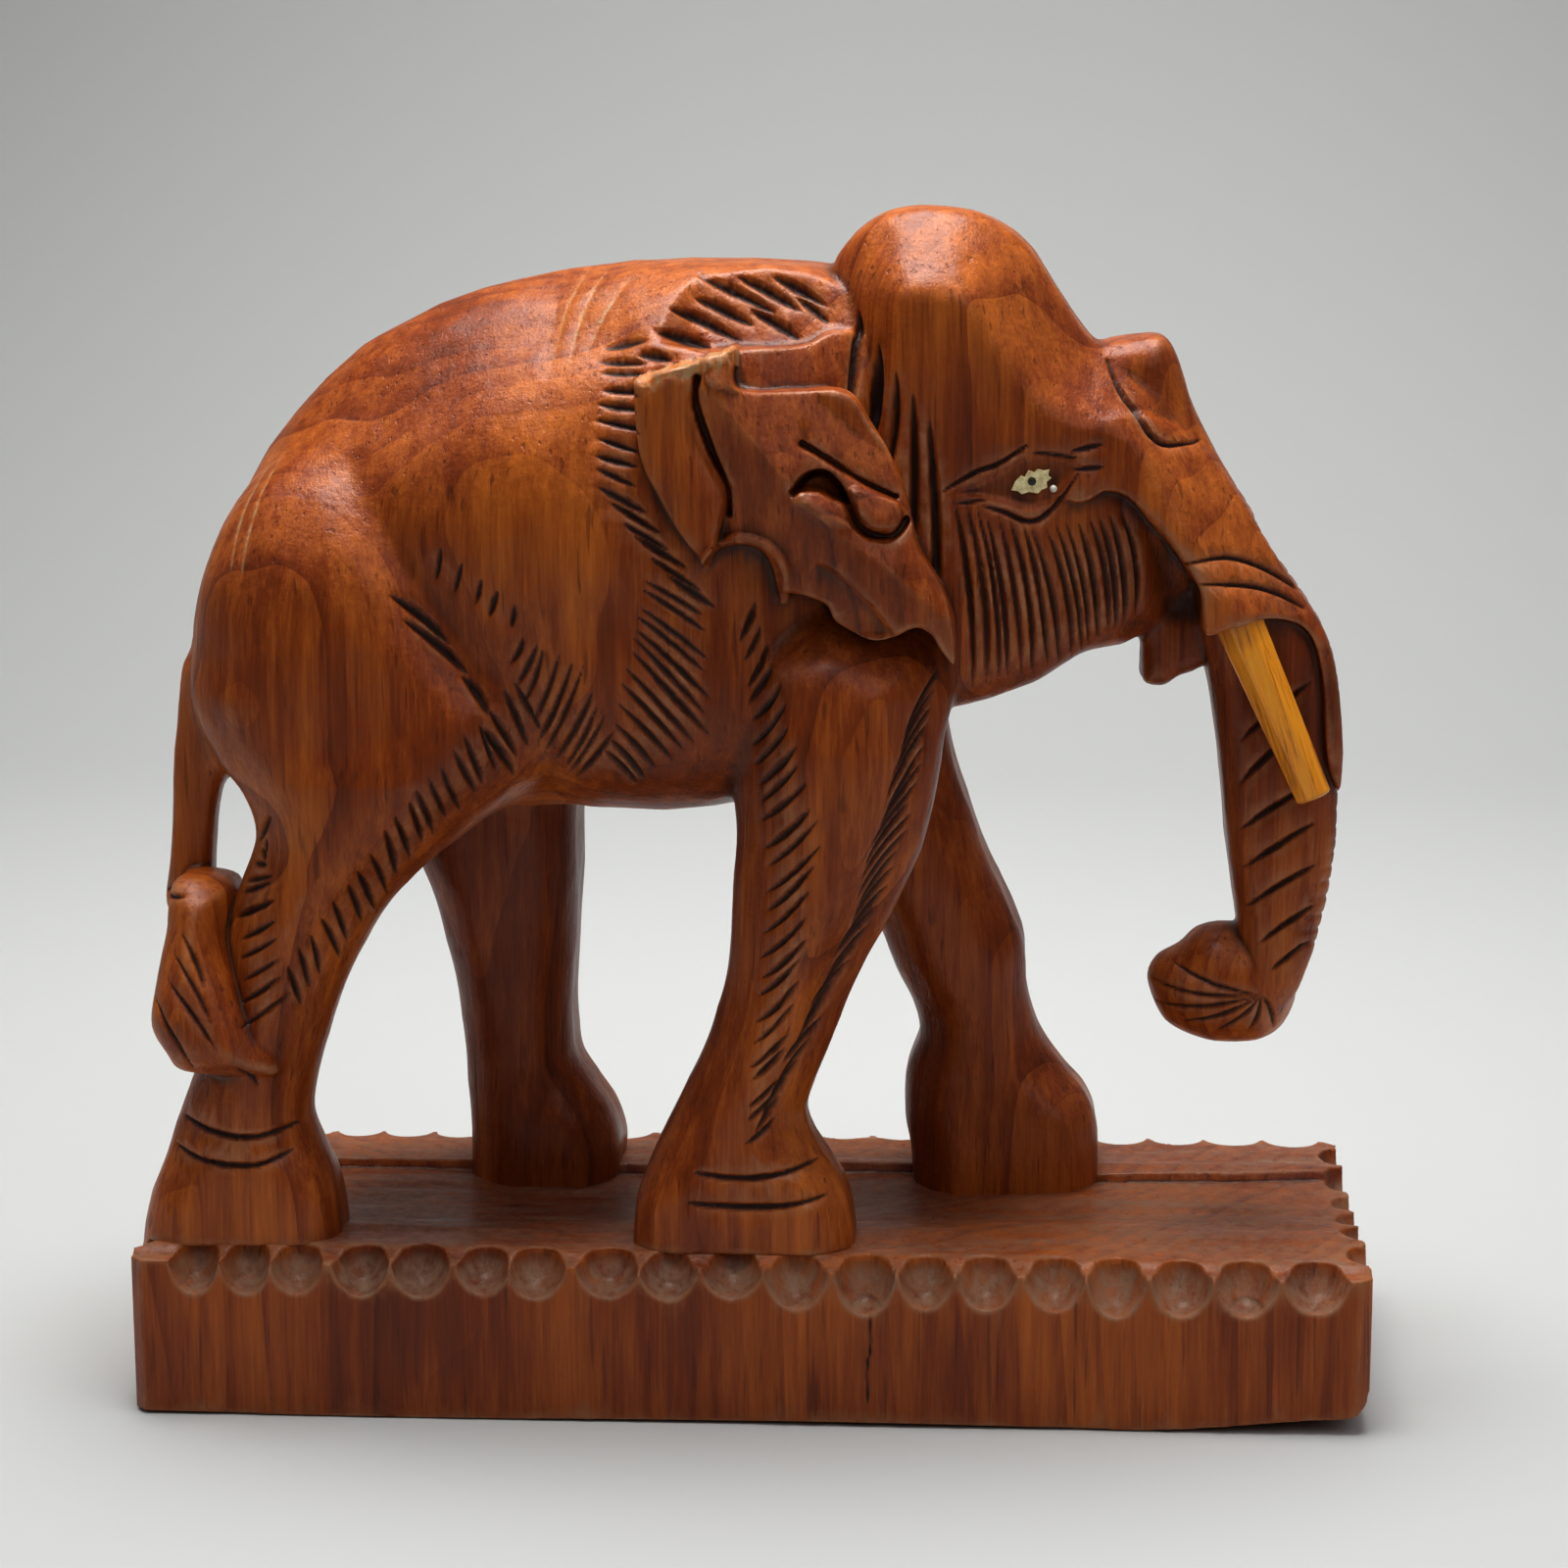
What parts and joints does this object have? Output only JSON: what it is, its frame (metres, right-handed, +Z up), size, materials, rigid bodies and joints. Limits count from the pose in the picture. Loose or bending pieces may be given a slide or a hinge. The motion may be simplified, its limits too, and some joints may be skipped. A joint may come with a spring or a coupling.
{
  "type": "carved wooden elephant",
  "caption": "Walking elephant carved with its base from a block of varnished wood, with whittled peg tusks and inlaid eyes; a standing ornament.",
  "frame": {"origin": "middle of the carving's outline at the underside of its base", "axes": "+X along the base towards the head, +Y towards the elephant's left side, +Z up from the base"},
  "size_m": [0.155, 0.058, 0.1491],
  "materials": {
    "carving_wood": "semi-gloss varnish, reddish brown",
    "tusk_wood": "amber varnish over pale wood",
    "eye_slip": "matt bone colour",
    "pupil_dark": "dark stain"
  },
  "bodies": {
    "root": {"carved_elephant": "carving_wood", "tusk_right": "tusk_wood", "tusk_left": "tusk_wood", "eye_inlay_right": "eye_slip", "eye_inlay_left": "eye_slip", "pupil_right": "pupil_dark", "pupil_left": "pupil_dark"}
  },
  "joints": []
}
